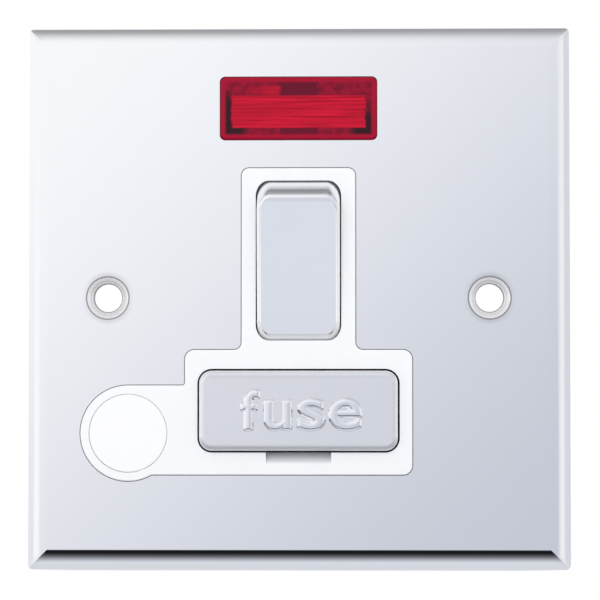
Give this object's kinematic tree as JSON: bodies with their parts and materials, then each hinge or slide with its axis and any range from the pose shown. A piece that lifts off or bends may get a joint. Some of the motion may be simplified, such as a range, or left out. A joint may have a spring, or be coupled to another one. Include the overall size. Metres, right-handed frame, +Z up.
{
  "type": "fused spur unit",
  "caption": "Square polished wall plate that switches and fuses a spur, with a rocker, a pull-out fuse drawer, a red neon lens and a blanked flex outlet.",
  "frame": {"origin": "on the wall plane, midway between the two fixing screws", "axes": "+X right and +Z up as one looks at the front, +Y into the wall"},
  "size_m": [0.086, 0.0276, 0.086],
  "materials": {
    "polished_chrome": "polished chrome plating",
    "white_moulding": "moulded, semi-gloss",
    "base_moulding": "moulded, satin",
    "red_lens": "clear red plastic",
    "brass": "pressed and machined",
    "zinc_steel": "bright zinc plate",
    "silver_contact": "silver",
    "plunger_plastic": "moulded",
    "nickel_cap": "nickel plate",
    "fuse_ceramic": "glazed ceramic",
    "lamp_glass": "clear glass",
    "resistor_coat": "lacquer",
    "lead_sleeve": "plastic sleeving"
  },
  "bodies": {
    "plate_unit": {"front_plate": "polished_chrome", "insert_moulding": "white_moulding", "flex_outlet_blank": "white_moulding", "rear_housing": "base_moulding", "cord_clamp": "base_moulding", "neon_lens": "red_lens", "neutral_link": "brass", "live_link": "brass", "load_clip": "brass", "neutral_supply_terminal": "brass", "neutral_load_terminal": "brass", "live_load_terminal": "brass", "live_supply_terminal": "brass", "earth_terminal": "brass", "earth_strap": "brass", "neutral_supply_contact": "brass", "live_supply_contact": "brass", "plate_retainers": "zinc_steel", "housing_screws": "zinc_steel", "cord_clamp_screws": "zinc_steel", "terminal_screws": "zinc_steel", "neon_lamp": "lamp_glass", "neon_resistor": "resistor_coat", "neon_leads": "lead_sleeve"},
    "rocker": {"rocker_cap": "polished_chrome", "rocker_body": "white_moulding", "live_plunger": "plunger_plastic", "neutral_plunger": "plunger_plastic", "live_plunger_spring": "zinc_steel", "neutral_plunger_spring": "zinc_steel"},
    "contact_bridges": {"live_contact_bridge": "brass", "neutral_contact_bridge": "brass", "live_bridge_tip": "silver_contact", "neutral_bridge_tip": "silver_contact"},
    "fuse_drawer": {"fuse_carrier": "white_moulding", "carrier_face": "polished_chrome", "fuse_barrel": "fuse_ceramic", "fuse_caps": "nickel_cap"}
  },
  "joints": [
    {"name": "rocker_switch", "type": "hinge", "parent": "plate_unit", "child": "rocker", "pos_m": [0, 0.00295, 0.0059], "axis": [1, 0, 0], "range_deg": [-12, 0]},
    {"name": "bridge_rock", "type": "hinge", "parent": "plate_unit", "child": "contact_bridges", "pos_m": [0, 0.0133, 0.0059], "axis": [1, 0, 0], "range_deg": [0, 13]},
    {"name": "drawer_slide", "type": "slide", "parent": "plate_unit", "child": "fuse_drawer", "axis": [0, -1, 0], "range_m": [0, 0.016]}
  ],
  "couplings": [
    {"joint": "bridge_rock", "follows": "rocker_switch", "ratio": -1.0833}
  ]
}
